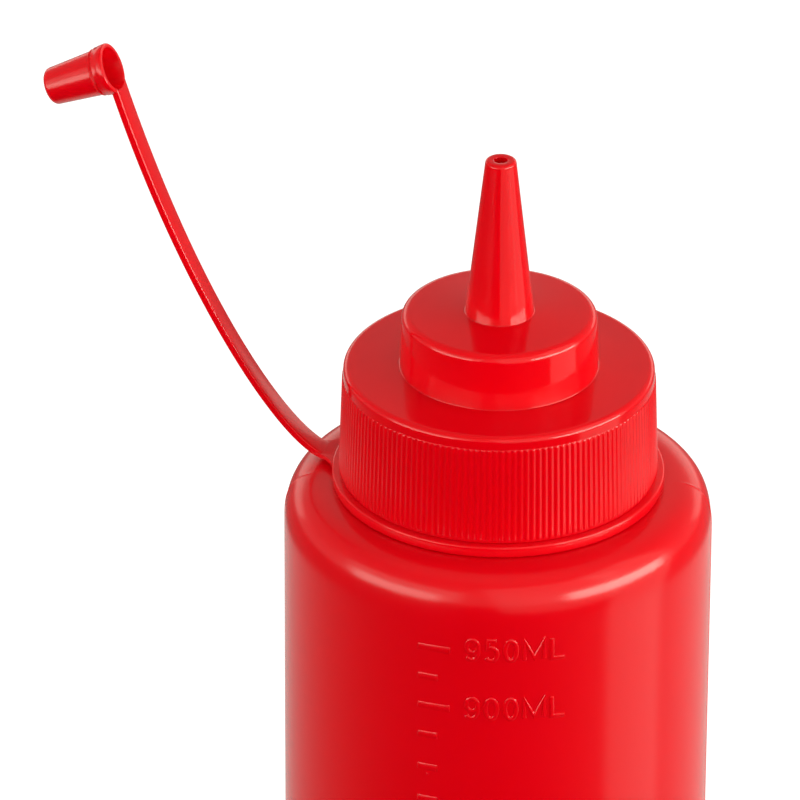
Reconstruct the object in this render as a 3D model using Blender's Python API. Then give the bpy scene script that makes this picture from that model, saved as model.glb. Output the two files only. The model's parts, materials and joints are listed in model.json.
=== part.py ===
"""Red squeeze bottle for sauces, with a ribbed screw cap, a cone nozzle and a tip cap on a strap.

Three mouldings stand on one axis: the blow-moulded bottle, the screw cap over its neck, and the
tether, whose ring lies round the neck under the cap and carries a curved strap with the tip cap.
+Z is up, the origin is the middle of the base, and the strap leaves the ring towards -X.
Sizes below are in millimetres; MM turns them into Blender's metres.
"""
import math

import bmesh
import bpy
from mathutils import Matrix, Vector

MM = 0.001
CLEARANCE = 0.3

# Bottle
BODY_RADIUS = 38.0
RING_LEVEL = 237.6
SHOULDER_DROP = 10.0
SHOULDER_POWER = 3.05
SHOULDER_START_RADIUS = 29.2
SHOULDER_STEPS = 11
BASE_EDGE_RADIUS = 5.0
NECK_RADIUS = 25.8
NECK_HEIGHT = 20.2
NECK_EDGE = 0.6

# Ring of the tether
RING_OUTER_RADIUS = 29.5
RING_INNER_RADIUS = NECK_RADIUS + CLEARANCE
RING_HEIGHT = 1.5
RING_EDGE_RADIUS = 0.35
SHOULDER_LEVEL = RING_LEVEL - 0.5

# Screw cap
CAP_BOTTOM = RING_HEIGHT + CLEARANCE
CAP_TOP = 22.35
CAP_TOP_RADIUS = 27.45
CAP_BOTTOM_RADIUS = 28.08
CAP_EDGE_RADIUS = 1.1
CAP_INNER_RADIUS = NECK_RADIUS + CLEARANCE
CAP_INNER_TOP = NECK_HEIGHT + CLEARANCE
DRUM_TOP = 32.85
DRUM_RADIUS = 17.25
DRUM_FOOT_RADIUS = 17.55
DRUM_EDGE_RADIUS = 1.5
DRUM_FOOT_FILLET = 0.3
NOZZLE_FOOT_RADIUS = 6.05
NOZZLE_FOOT_FILLET = 0.3
NOZZLE_TOP = 62.4
NOZZLE_TIP_RADIUS = 2.75
NOZZLE_TIP_EDGE = 0.6
NOZZLE_DRAFT = 6.0
BORE_TIP_RADIUS = 1.2
BORE_FOOT_RADIUS = 4.2

# Grip ribs round the skirt
RIB_COUNT = 160
RIB_RELIEF = 0.28
RIB_BOTTOM = CAP_BOTTOM + 0.45
RIB_TOP = 19.85
RIB_CORNERS = ((0.0, 0.0), (0.35, 1.0), (0.65, 1.0))

# Strap: a flat band bent in the XZ plane; its points are (distance from the axis, height above the ring)
STRAP_ROOT = (31.6, 0.45)
STRAP_ROOT_PULL = (39.7, 3.0)
STRAP_TIP_PULL = (56.6, 29.2)
STRAP_TIP = (69.05, 68.5)
STRAP_STATIONS = 30
STRAP_THICKNESS = 1.3
STRAP_ROOT_WIDTH = 4.45
STRAP_MIDDLE_WIDTH = 4.15
STRAP_TIP_WIDTH = 5.0
STRAP_NARROWED = 0.4
STRAP_WIDENING = 0.5
STRAP_EDGE = 0.3

# Tab between the ring and the strap's root, thinner than both, its sides flared into the ring
TAB_THICKNESS = 0.8
TAB_LEVEL = 0.3
TAB_WIDTH = 4.2
TAB_FILLET_RADIUS = 5.5
TAB_FILLET_STEPS = 8
TAB_REACH = 32.4

# Tip cap, turned about its own axis; depths run from its mouth to its closed end
TIP_CAP_MOUTH = (70.0, 71.8)
TIP_CAP_LIFT = math.radians(24.0)
TIP_CAP_LENGTH = 12.5
TIP_CAP_MOUTH_RADIUS = 4.6
TIP_CAP_MOUTH_BORE = 3.7
TIP_CAP_COLLAR_DEPTH = 2.2
TIP_CAP_COLLAR_RADIUS = 4.45
TIP_CAP_GROOVE_RADIUS = 4.05
TIP_CAP_LIP_DEPTH = 2.75
TIP_CAP_LIP_RADIUS = 4.25
TIP_CAP_END_RADIUS = 3.35
TIP_CAP_END_BORE = 2.7
TIP_CAP_END_WALL = 1.2
TIP_BORE_RUNOUT = 1.0
TIP_CAP_RIM_EDGE = 0.35
TIP_CAP_END_EDGE = 1.0

BOTTLE_SEGMENTS = 72
CAP_SEGMENTS = 72
NOZZLE_SEGMENTS = 36
TIP_CAP_SEGMENTS = 32
SHARP_ANGLE = math.radians(35.0)

PLASTIC_RED = (0.745, 0.004, 0.006, 1.0)
DEEP_PLASTIC_RED = (0.70, 0.003, 0.005, 1.0)
SATIN = 0.38
SEMI_GLOSSY = 0.30
GLOSSY = 0.22


def arc(centre, radius, start, end, steps):
    """Points of a circular arc in the (distance, height) plane, angles in degrees from outwards."""
    points = []
    for step in range(steps + 1):
        angle = math.radians(start + (end - start) * step / steps)
        points.append((centre[0] + radius * math.cos(angle), centre[1] + radius * math.sin(angle)))
    return points


def make_material(name, colour, roughness):
    """A plain Principled plastic."""
    material = bpy.data.materials.new(name)
    material.use_nodes = True
    shader = material.node_tree.nodes["Principled BSDF"]
    shader.inputs["Base Color"].default_value = colour
    shader.inputs["Roughness"].default_value = roughness
    shader.inputs["Metallic"].default_value = 0.0
    return material


def add_ring(mesh, radius, height, count):
    """A level ring of vertices round the axis, the first one towards +X."""
    vertices = []
    for index in range(count):
        angle = 2.0 * math.pi * index / count
        place = Vector((radius * math.cos(angle), radius * math.sin(angle), height))
        vertices.append(mesh.verts.new(place * MM))
    return vertices


def join_rings(mesh, lower, upper):
    """Faces between two rings that start at the same turn, also where their counts differ."""
    low_count, high_count = len(lower), len(upper)
    if low_count == high_count:
        for index in range(low_count):
            after = (index + 1) % low_count
            mesh.faces.new((lower[index], lower[after], upper[after], upper[index]))
        return
    low, high = 0, 0
    while low < low_count or high < high_count:
        low_is_behind = low < low_count and (low + 1) * high_count <= (high + 1) * low_count
        here_low, here_high = lower[low % low_count], upper[high % high_count]
        if low_is_behind or high == high_count:
            low += 1
            mesh.faces.new((here_low, lower[low % low_count], here_high))
        else:
            high += 1
            mesh.faces.new((here_low, upper[high % high_count], here_high))


def turned_solid(mesh, rings):
    """Joins rings one after the other; a list that comes back to its first ring is a ring body."""
    for lower, upper in zip(rings[:-1], rings[1:]):
        join_rings(mesh, lower, upper)


def finish_object(name, mesh, material):
    """Turns the mesh outwards and stores it under its node's name, with round faces smooth."""
    bmesh.ops.recalc_face_normals(mesh, faces=mesh.faces)
    data = bpy.data.meshes.new(name)
    mesh.to_mesh(data)
    mesh.free()
    data.materials.append(material)
    data.shade_smooth()
    data.set_sharp_from_angle(angle=SHARP_ANGLE)
    made = bpy.data.objects.new(name, data)
    bpy.context.scene.collection.objects.link(made)
    return made


def shoulder_profile():
    """The rounded shoulder, a superellipse from the flat under the ring to the straight body."""
    points = []
    span = BODY_RADIUS - SHOULDER_START_RADIUS
    for step in range(SHOULDER_STEPS + 1):
        share = math.sin(0.5 * math.pi * step / SHOULDER_STEPS)
        fall = SHOULDER_DROP * (1.0 - (1.0 - share ** SHOULDER_POWER) ** (1.0 / SHOULDER_POWER))
        points.append((SHOULDER_START_RADIUS + span * share, SHOULDER_LEVEL - fall))
    return points


def make_bottle(material):
    """The shut bottle as one solid: flat base, straight body, rounded shoulder and plain neck."""
    base_edge = arc((BODY_RADIUS - BASE_EDGE_RADIUS, BASE_EDGE_RADIUS), BASE_EDGE_RADIUS, -90.0, 0.0, 6)
    neck_top = RING_LEVEL + NECK_HEIGHT
    profile = base_edge + shoulder_profile()[::-1]
    profile += [
        (NECK_RADIUS, SHOULDER_LEVEL),
        (NECK_RADIUS, neck_top - NECK_EDGE),
        (NECK_RADIUS - NECK_EDGE, neck_top),
    ]
    mesh = bmesh.new()
    rings = [add_ring(mesh, radius, height, BOTTLE_SEGMENTS) for radius, height in profile]
    turned_solid(mesh, rings)
    mesh.faces.new(rings[0])
    mesh.faces.new(rings[-1])
    return finish_object("bottle", mesh, material)


def skirt_radius(height):
    """Radius of the skirt between its ribs at a height above the ring level."""
    share = (height - CAP_BOTTOM) / (CAP_TOP - CAP_EDGE_RADIUS - CAP_BOTTOM)
    return CAP_BOTTOM_RADIUS + (CAP_TOP_RADIUS - CAP_BOTTOM_RADIUS) * share


def add_rib_ring(mesh, height):
    """A ring round the skirt with the corners of every rib, at a height above the ring level."""
    vertices = []
    for rib in range(RIB_COUNT):
        for share, relief in RIB_CORNERS:
            angle = 2.0 * math.pi * (rib + share) / RIB_COUNT
            distance = skirt_radius(height) + relief * RIB_RELIEF
            place = Vector((distance * math.cos(angle), distance * math.sin(angle), RING_LEVEL + height))
            vertices.append(mesh.verts.new(place * MM))
    return vertices


def make_screw_cap(material):
    """The cap: a skirt with grip ribs, a raised drum and a cone nozzle with an open bore."""
    mesh = bmesh.new()

    def ring(point, count=CAP_SEGMENTS):
        return add_ring(mesh, point[0], RING_LEVEL + point[1], count)

    edge_centre = (CAP_TOP_RADIUS - CAP_EDGE_RADIUS, CAP_TOP - CAP_EDGE_RADIUS)
    foot_centre = (DRUM_FOOT_RADIUS + DRUM_FOOT_FILLET, CAP_TOP + DRUM_FOOT_FILLET)
    drum_centre = (DRUM_RADIUS - DRUM_EDGE_RADIUS, DRUM_TOP - DRUM_EDGE_RADIUS)
    nozzle_centre = (NOZZLE_FOOT_RADIUS + NOZZLE_FOOT_FILLET, DRUM_TOP + NOZZLE_FOOT_FILLET)
    tip_centre = (NOZZLE_TIP_RADIUS - NOZZLE_TIP_EDGE, NOZZLE_TOP - NOZZLE_TIP_EDGE)
    upper_skirt = [(skirt_radius(RIB_TOP), RIB_TOP)] + arc(edge_centre, CAP_EDGE_RADIUS, 0.0, 90.0, 6)
    drum = arc(foot_centre, DRUM_FOOT_FILLET, 270.0, 180.0, 3)
    drum += arc(drum_centre, DRUM_EDGE_RADIUS, 0.0, 90.0, 4)
    nozzle = arc(nozzle_centre, NOZZLE_FOOT_FILLET, 270.0, 180.0 + NOZZLE_DRAFT, 3)
    nozzle += arc(tip_centre, NOZZLE_TIP_EDGE, NOZZLE_DRAFT, 90.0, 3)
    bore = [
        (BORE_TIP_RADIUS, NOZZLE_TOP),
        (BORE_FOOT_RADIUS, DRUM_TOP),
        (BORE_FOOT_RADIUS, CAP_INNER_TOP),
    ]

    rings = [ring((CAP_INNER_RADIUS, CAP_BOTTOM)), ring((CAP_BOTTOM_RADIUS, CAP_BOTTOM))]
    rings += [ring((skirt_radius(RIB_BOTTOM), RIB_BOTTOM))]
    rings += [add_rib_ring(mesh, RIB_BOTTOM), add_rib_ring(mesh, RIB_TOP)]
    rings += [ring(point) for point in upper_skirt + drum]
    rings += [ring(point, NOZZLE_SEGMENTS) for point in nozzle + bore]
    rings += [ring((CAP_INNER_RADIUS, CAP_INNER_TOP)), rings[0]]
    turned_solid(mesh, rings)
    return finish_object("screw_cap", mesh, material)


def make_ring():
    """The tether's ring: a flat annulus with rounded outer edges."""
    mesh = bmesh.new()
    low, high = RING_LEVEL, RING_LEVEL + RING_HEIGHT
    centre_radius = RING_OUTER_RADIUS - RING_EDGE_RADIUS
    profile = [(RING_INNER_RADIUS, low)]
    profile += arc((centre_radius, low + RING_EDGE_RADIUS), RING_EDGE_RADIUS, -90.0, 0.0, 2)
    profile += arc((centre_radius, high - RING_EDGE_RADIUS), RING_EDGE_RADIUS, 0.0, 90.0, 2)
    profile += [(RING_INNER_RADIUS, high)]
    rings = [add_ring(mesh, radius, height, CAP_SEGMENTS) for radius, height in profile]
    turned_solid(mesh, rings + rings[:1])
    return mesh


def make_tab():
    """The flat tab between ring and strap, its sides hollow fillets that run into the ring."""
    half = TAB_WIDTH / 2.0
    side = half + TAB_FILLET_RADIUS
    reach = math.sqrt((RING_OUTER_RADIUS + TAB_FILLET_RADIUS) ** 2 - side ** 2)
    turn = math.degrees(math.atan2(side, reach))
    flare = arc((reach, side), TAB_FILLET_RADIUS, 270.0, 180.0 + turn, TAB_FILLET_STEPS)
    outline = [(RING_INNER_RADIUS + CLEARANCE, flare[-1][1])] + flare[::-1]
    outline = [point for point in outline if point[0] <= TAB_REACH] + [(TAB_REACH, half)]
    outline += [(x, -y) for x, y in outline[::-1]]
    mesh = bmesh.new()
    bottom = [mesh.verts.new(Vector((-x, y, RING_LEVEL + TAB_LEVEL)) * MM) for x, y in outline]
    lift = Vector((0.0, 0.0, TAB_THICKNESS)) * MM
    top = [mesh.verts.new(vertex.co + lift) for vertex in bottom]
    join_rings(mesh, bottom, top)
    mesh.faces.new(bottom)
    mesh.faces.new(top)
    return mesh


def bezier(share):
    """Place and direction on the strap's middle line; share runs from the root to the tip cap."""
    corners = [Vector(pair) for pair in (STRAP_ROOT, STRAP_ROOT_PULL, STRAP_TIP_PULL, STRAP_TIP)]
    rest = 1.0 - share
    place = rest ** 3 * corners[0] + 3 * rest ** 2 * share * corners[1]
    place += 3 * rest * share ** 2 * corners[2] + share ** 3 * corners[3]
    heading = rest ** 2 * (corners[1] - corners[0]) + 2 * rest * share * (corners[2] - corners[1])
    heading += share ** 2 * (corners[3] - corners[2])
    return place, heading.normalized()


def blend(low, high, share):
    """Eases from one value to another as share runs from 0 to 1."""
    share = min(max(share, 0.0), 1.0)
    return low + (high - low) * share * share * (3.0 - 2.0 * share)


def strap_width(share):
    """Width of the strap, which is narrowest at its middle."""
    if share < STRAP_WIDENING:
        return blend(STRAP_ROOT_WIDTH, STRAP_MIDDLE_WIDTH, share / STRAP_NARROWED)
    return blend(STRAP_MIDDLE_WIDTH, STRAP_TIP_WIDTH, (share - STRAP_WIDENING) / (1.0 - STRAP_WIDENING))


def make_strap():
    """The strap as a band with rounded edges, swept along its middle line."""
    mesh = bmesh.new()
    loops = []
    for station in range(STRAP_STATIONS + 1):
        share = station / STRAP_STATIONS
        place, heading = bezier(share)
        across, up = strap_width(share) / 2.0, STRAP_THICKNESS / 2.0
        corners = [
            (across - STRAP_EDGE, up), (across, up - STRAP_EDGE),
            (across, STRAP_EDGE - up), (across - STRAP_EDGE, -up),
            (STRAP_EDGE - across, -up), (-across, STRAP_EDGE - up),
            (-across, up - STRAP_EDGE), (STRAP_EDGE - across, up),
        ]
        loop = []
        for side, rise in corners:
            distance = place.x - heading.y * rise
            height = place.y + heading.x * rise
            loop.append(mesh.verts.new(Vector((-distance, side, RING_LEVEL + height)) * MM))
        loops.append(loop)
    turned_solid(mesh, loops)
    mesh.faces.new(loops[0])
    mesh.faces.new(loops[-1])
    return mesh


def turned_on_tip_axis(profile):
    """A closed body turned about the tip cap's axis, from (radius, depth) points."""
    mesh = bmesh.new()
    rings = [add_ring(mesh, radius, -depth, TIP_CAP_SEGMENTS) for radius, depth in profile]
    turned_solid(mesh, rings)
    mesh.faces.new(rings[0])
    mesh.faces.new(rings[-1])
    tilt = Matrix.Rotation(math.pi / 2.0 - TIP_CAP_LIFT, 4, "Y")
    mouth = Vector((-TIP_CAP_MOUTH[0], 0.0, RING_LEVEL + TIP_CAP_MOUTH[1])) * MM
    mesh.transform(Matrix.Translation(mouth) @ tilt)
    return mesh


def make_tip_body():
    """The tip cap's outside: a tapered barrel with a collar, a groove and a lip."""
    rim_centre = (TIP_CAP_MOUTH_RADIUS - TIP_CAP_RIM_EDGE, TIP_CAP_RIM_EDGE)
    end_centre = (TIP_CAP_END_RADIUS - TIP_CAP_END_EDGE, TIP_CAP_LENGTH - TIP_CAP_END_EDGE)
    profile = arc(rim_centre, TIP_CAP_RIM_EDGE, -90.0, 0.0, 2)
    profile += [
        (TIP_CAP_COLLAR_RADIUS, TIP_CAP_COLLAR_DEPTH - TIP_CAP_RIM_EDGE),
        (TIP_CAP_GROOVE_RADIUS, TIP_CAP_COLLAR_DEPTH),
        (TIP_CAP_LIP_RADIUS, TIP_CAP_LIP_DEPTH),
        (TIP_CAP_GROOVE_RADIUS, TIP_CAP_LIP_DEPTH + TIP_CAP_RIM_EDGE),
    ]
    profile += arc(end_centre, TIP_CAP_END_EDGE, 0.0, 90.0, 3)
    return turned_on_tip_axis(profile)


def make_tip_bore():
    """The tapered bore that is cut into the tip cap and through the strap's end."""
    depth = TIP_CAP_LENGTH - TIP_CAP_END_WALL
    taper = (TIP_CAP_MOUTH_BORE - TIP_CAP_END_BORE) / depth
    mouth = (TIP_CAP_MOUTH_BORE + taper * TIP_BORE_RUNOUT, -TIP_BORE_RUNOUT)
    return turned_on_tip_axis([mouth, (TIP_CAP_END_BORE, depth)])


def combine(base, operation, pieces):
    """Applies one Boolean of several pieces to a base and removes the pieces."""
    others = bpy.data.collections.new(base.name + "_parts")
    bpy.context.scene.collection.children.link(others)
    for piece in pieces:
        bpy.context.scene.collection.objects.unlink(piece)
        others.objects.link(piece)
    boolean = base.modifiers.new("combine", "BOOLEAN")
    boolean.operation = operation
    boolean.operand_type = "COLLECTION"
    boolean.collection = others
    boolean.solver = "EXACT"
    evaluated = base.evaluated_get(bpy.context.evaluated_depsgraph_get())
    combined = bpy.data.meshes.new_from_object(evaluated)
    base.modifiers.clear()
    base.data = combined
    for piece in list(others.objects):
        bpy.data.objects.remove(piece)
    bpy.data.collections.remove(others)


def make_tether(material):
    """Ring, tab, strap and tip cap, fused into the one moulding that they are."""
    tether = finish_object("tether", make_ring(), material)
    tab = finish_object("tab", make_tab(), material)
    strap = finish_object("strap", make_strap(), material)
    tip_body = finish_object("tip_body", make_tip_body(), material)
    combine(tether, "UNION", [tab, strap, tip_body])
    combine(tether, "DIFFERENCE", [finish_object("tip_bore", make_tip_bore(), material)])
    tether.data.set_sharp_from_angle(angle=SHARP_ANGLE)
    return tether


def main():
    """Clears the scene and makes the three mouldings."""
    for old in list(bpy.data.objects):
        bpy.data.objects.remove(old)
    make_bottle(make_material("bottle_plastic", PLASTIC_RED, SATIN))
    make_screw_cap(make_material("cap_plastic", DEEP_PLASTIC_RED, GLOSSY))
    make_tether(make_material("tether_plastic", PLASTIC_RED, SEMI_GLOSSY))


main()
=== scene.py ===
"""Looks of a red squeeze bottle for sauces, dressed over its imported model.

The bottle is blown, the ribbed screw cap with its cone nozzle is injection moulded, and the tether
is one soft moulding: a ring round the neck, a curved strap and the tip cap that it carries.
Sizes are in millimetres unless a name says otherwise. The bottle's axis is Z, its base stands at
zero, and the strap leaves the ring towards -X.
"""
import json
import logging
import math
from collections.abc import Callable, Iterable, Sequence
from dataclasses import dataclass
from enum import Enum

import bmesh
import bpy
from mathutils import Matrix, Vector

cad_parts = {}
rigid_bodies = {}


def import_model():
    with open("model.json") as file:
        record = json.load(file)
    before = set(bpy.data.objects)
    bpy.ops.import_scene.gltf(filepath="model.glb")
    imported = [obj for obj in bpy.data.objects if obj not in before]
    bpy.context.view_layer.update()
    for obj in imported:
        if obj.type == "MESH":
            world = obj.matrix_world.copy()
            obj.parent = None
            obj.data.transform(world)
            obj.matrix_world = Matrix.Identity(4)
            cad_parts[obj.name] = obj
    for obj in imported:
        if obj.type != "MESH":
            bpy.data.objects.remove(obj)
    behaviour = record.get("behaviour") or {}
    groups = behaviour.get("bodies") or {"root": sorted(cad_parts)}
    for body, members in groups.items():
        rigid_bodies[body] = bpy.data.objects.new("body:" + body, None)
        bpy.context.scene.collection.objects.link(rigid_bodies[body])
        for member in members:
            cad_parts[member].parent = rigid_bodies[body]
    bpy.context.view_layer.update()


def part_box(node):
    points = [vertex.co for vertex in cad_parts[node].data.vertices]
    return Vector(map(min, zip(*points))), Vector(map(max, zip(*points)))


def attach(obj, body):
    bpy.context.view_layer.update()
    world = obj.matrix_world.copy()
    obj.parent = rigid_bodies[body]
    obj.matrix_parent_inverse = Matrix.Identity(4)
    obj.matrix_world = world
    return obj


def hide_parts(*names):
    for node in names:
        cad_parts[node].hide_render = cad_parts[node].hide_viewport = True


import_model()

log = logging.getLogger("sauce_bottle")

MM = 0.001
CLEARANCE = 0.3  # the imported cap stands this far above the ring
BODY = "root"
FULL_TURN = 2.0 * math.pi
WHITE = (1.0, 1.0, 1.0, 1.0)
UNSTRETCHED = (1.0, 1.0, 1.0)

Point2 = tuple[float, float]
Colour = tuple[float, float, float]
Stretch = tuple[float, float, float]
Offset = Callable[[float, float], float]
Piece = bpy.types.Object
Socket = bpy.types.NodeSocket


def arc(centre: Point2, radii: Point2, start: float, end: float, steps: int) -> list[Point2]:
    """Points of an elliptical arc.

    Args:
        centre: middle of the ellipse.
        radii: half widths along the first and the second direction.
        start: first angle in degrees, counted from the first direction.
        end: last angle in degrees.
        steps: number of equal steps between the two.

    Returns:
        The points from start to end, both included.
    """
    points = []
    for step in range(steps + 1):
        turn = math.radians(start + (end - start) * step / steps)
        x, y = centre[0] + radii[0] * math.cos(turn), centre[1] + radii[1] * math.sin(turn)
        points.append((x, y))
    return points


def round_edge(
    centre: Point2, radius: float, start: float, end: float, steps: int
) -> list[Point2]:
    """Points of a circular arc, with arc's own arguments and one radius."""
    return arc(centre, (radius, radius), start, end, steps)


def ease(low: float, high: float, share: float) -> float:
    """A smooth change from low to high while share runs from 0 to 1."""
    share = min(max(share, 0.0), 1.0)
    return low + (high - low) * share * share * (3.0 - 2.0 * share)


def even_turns(count: int) -> list[float]:
    """Equal turns round the axis, in radians, the first one towards +X."""
    return [FULL_TURN * index / count for index in range(count)]


def polar(reach: float, turn: float, height: float) -> Vector:
    """The point at a distance from the Z axis, a turn in radians and a height."""
    return Vector((reach * math.cos(turn), reach * math.sin(turn), height))


def put_in_scene(name: str, data: bpy.types.ID) -> Piece:
    """Makes an object around its data and links it to the scene.

    Args:
        name: the object's name.
        data: its mesh, light or camera.

    Returns:
        The object.
    """
    made = bpy.data.objects.new(name, data)
    bpy.context.scene.collection.objects.link(made)
    return made


class Shell:
    """Vertices and faces of a piece while it is being shaped, in millimetres."""

    def __init__(self) -> None:
        """Starts with nothing in it."""
        self.vertices: list[Vector] = []
        self.faces: list[tuple[int, ...]] = []

    def row(self, points: Iterable[Vector]) -> list[int]:
        """Adds vertices.

        Args:
            points: their places.

        Returns:
            Their numbers.
        """
        first = len(self.vertices)
        self.vertices.extend(points)
        return list(range(first, len(self.vertices)))

    def ring(
        self, radius: float, height: float, turns: Sequence[float], offset: Offset | None = None
    ) -> list[int]:
        """Adds a level ring round the Z axis.

        Args:
            radius: distance from the axis.
            height: height of the ring.
            turns: angles of its vertices, in radians and rising.
            offset: optional extra radius at a turn and a height.

        Returns:
            The numbers of its vertices.
        """
        points = []
        for turn in turns:
            reach = radius + (offset(turn, height) if offset else 0.0)
            points.append(polar(reach, turn, height))
        return self.row(points)

    def bridge(self, lower: Sequence[int], upper: Sequence[int]) -> None:
        """Joins two closed rows that start side by side, also where their counts differ.

        Args:
            lower: numbers of the first row's vertices.
            upper: numbers of the second row's vertices.
        """
        low_count, high_count = len(lower), len(upper)
        if low_count == high_count:
            for index in range(low_count):
                after = (index + 1) % low_count
                self.faces.append((lower[index], lower[after], upper[after], upper[index]))
            return
        low, high = 0, 0
        while low < low_count or high < high_count:
            low_is_behind = low < low_count and (low + 1) * high_count <= (high + 1) * low_count
            here_low, here_high = lower[low % low_count], upper[high % high_count]
            if low_is_behind or high == high_count:
                low += 1
                self.faces.append((here_low, lower[low % low_count], here_high))
            else:
                high += 1
                self.faces.append((here_low, upper[high % high_count], here_high))

    def chain(self, rows: Sequence[Sequence[int]]) -> None:
        """Joins each row to the next one."""
        for lower, upper in zip(rows[:-1], rows[1:]):
            self.bridge(lower, upper)

    def cap_ends(self, rows: Sequence[Sequence[int]]) -> None:
        """Fills the first and the last of a wall's closed rows."""
        self.faces += [tuple(rows[0]), tuple(rows[-1])]

    def turned(
        self, profile: Sequence[Point2], turns: Sequence[float], offset: Offset | None = None
    ) -> list[list[int]]:
        """Adds a wall turned along a profile of (radius, height) points.

        Args:
            profile: the points, in order along the wall.
            turns: angles of the columns, in radians.
            offset: optional extra radius at a turn and a height.

        Returns:
            The rings, one for each point of the profile.
        """
        rings = [self.ring(radius, height, turns, offset) for radius, height in profile]
        self.chain(rings)
        return rings

    def to_object(self, name: str, matrix: Matrix = Matrix.Identity(4)) -> Piece:
        """Makes the mesh object.

        Args:
            name: name of the object and of its mesh.
            matrix: where the shell goes, in millimetres.

        Returns:
            The object, linked to the scene, with its faces pointing out.
        """
        data = bpy.data.meshes.new(name)
        data.from_pydata([(matrix @ vertex) * MM for vertex in self.vertices], [], self.faces)
        tidy = bmesh.new()
        tidy.from_mesh(data)
        bmesh.ops.recalc_face_normals(tidy, faces=tidy.faces)
        tidy.to_mesh(data)
        tidy.free()
        return put_in_scene(name, data)


def smooth(piece: Piece, sharp_angle: float) -> None:
    """Shades a piece smooth, but for edges that bend by more than an angle in degrees."""
    piece.data.shade_smooth()
    piece.data.set_sharp_from_angle(angle=math.radians(sharp_angle))


class Joining(Enum):
    """What a Boolean does with the pieces that are brought to a base."""

    FUSE = "UNION"
    CUT = "DIFFERENCE"


def combine(base: Piece, joining: Joining, others: Sequence[Piece]) -> None:
    """Fuses closed pieces into a base or cuts them out of it, and removes them.

    Args:
        base: the piece that stays, with its name.
        joining: whether the others are added or cut out.
        others: closed pieces that reach into the base.
    """
    operands = bpy.data.collections.new(base.name + "_parts")
    bpy.context.scene.collection.children.link(operands)
    for piece in others:
        bpy.context.scene.collection.objects.unlink(piece)
        operands.objects.link(piece)
    boolean = base.modifiers.new("combine", "BOOLEAN")
    boolean.operation = joining.value
    boolean.operand_type = "COLLECTION"
    boolean.collection = operands
    boolean.solver = "EXACT"
    evaluated = base.evaluated_get(bpy.context.evaluated_depsgraph_get())
    combined = bpy.data.meshes.new_from_object(evaluated)
    base.modifiers.clear()
    base.data = combined
    for piece in list(operands.objects):
        bpy.data.objects.remove(piece)
    bpy.data.collections.remove(operands)


def settle(piece: Piece, node: str) -> Piece:
    """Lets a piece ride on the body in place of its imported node.

    Args:
        piece: the finished mesh object.
        node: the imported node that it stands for.

    Returns:
        The same piece.
    """
    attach(piece, BODY)
    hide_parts(node)
    return piece


@dataclass(frozen=True)
class FrameSizes:
    """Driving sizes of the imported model."""

    body_radius: float
    ring_level: float
    ring_radius: float
    neck_top: float
    ring_height: float
    nozzle_top: float

    @classmethod
    def read(cls) -> "FrameSizes":
        """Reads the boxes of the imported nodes.

        Returns:
            The sizes, in millimetres.
        """
        bottle_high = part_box("bottle")[1] / MM
        ring_low, tether_high = (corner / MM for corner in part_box("tether"))
        cap_low, cap_high = (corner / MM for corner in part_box("screw_cap"))
        return cls(
            body_radius=bottle_high.x,
            ring_level=ring_low.z,
            ring_radius=tether_high.x,
            neck_top=bottle_high.z,
            ring_height=cap_low.z - ring_low.z - CLEARANCE,
            nozzle_top=cap_high.z,
        )


@dataclass(frozen=True)
class MouldMarks:
    """The faint relief that a mould leaves on a wall.

    Attributes:
        size: size of one mark.
        depth: depth of the relief.
        detail: how many finer layers it has.
        stretch: scale of the coordinates along X, Y and Z, small for long marks.
    """

    size: float
    depth: float
    detail: float = 0.0
    stretch: Stretch = UNSTRETCHED


class MouldProcess(Enum):
    """How a plastic part was made: die lines, flow lines or soft ripples show on its wall."""

    BLOWN = MouldMarks(1.1, 0.002, 2.0, (1.0, 1.0, 0.02))
    INJECTED = MouldMarks(6.0, 0.003)
    SOFT = MouldMarks(3.0, 0.003)


class Ramp(Enum):
    """How a value changes between the ends of a ramp."""

    STRAIGHT = "LINEAR"
    EASED = "SMOOTHSTEP"


class NodeSketch:
    """A node tree while it is being laid out."""

    def __init__(self, tree: bpy.types.NodeTree) -> None:
        """Starts on a tree as it is."""
        self.tree = tree

    def node(self, kind: str, **settings: object) -> bpy.types.Node:
        """Adds a node.

        Args:
            kind: the node's type.
            settings: its own properties by name.

        Returns:
            The node.
        """
        made = self.tree.nodes.new(kind)
        for key, value in settings.items():
            setattr(made, key, value)
        return made

    def link(self, source: Socket, target: Socket) -> None:
        """Links two sockets."""
        self.tree.links.new(source, target)

    def ramp(self, value: Socket, start: Point2, end: Point2, shape: Ramp = Ramp.EASED) -> Socket:
        """Maps one range of a value to another.

        Args:
            value: what is mapped.
            start: the ends of its own range.
            end: what these ends become.
            shape: how it changes in between.

        Returns:
            The mapped value.
        """
        mapped = self.node("ShaderNodeMapRange", interpolation_type=shape.value)
        names = ("From Min", "From Max", "To Min", "To Max")
        for name, number in zip(names, (*start, *end)):
            mapped.inputs[name].default_value = number
        self.link(value, mapped.inputs["Value"])
        return mapped.outputs["Result"]


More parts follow.
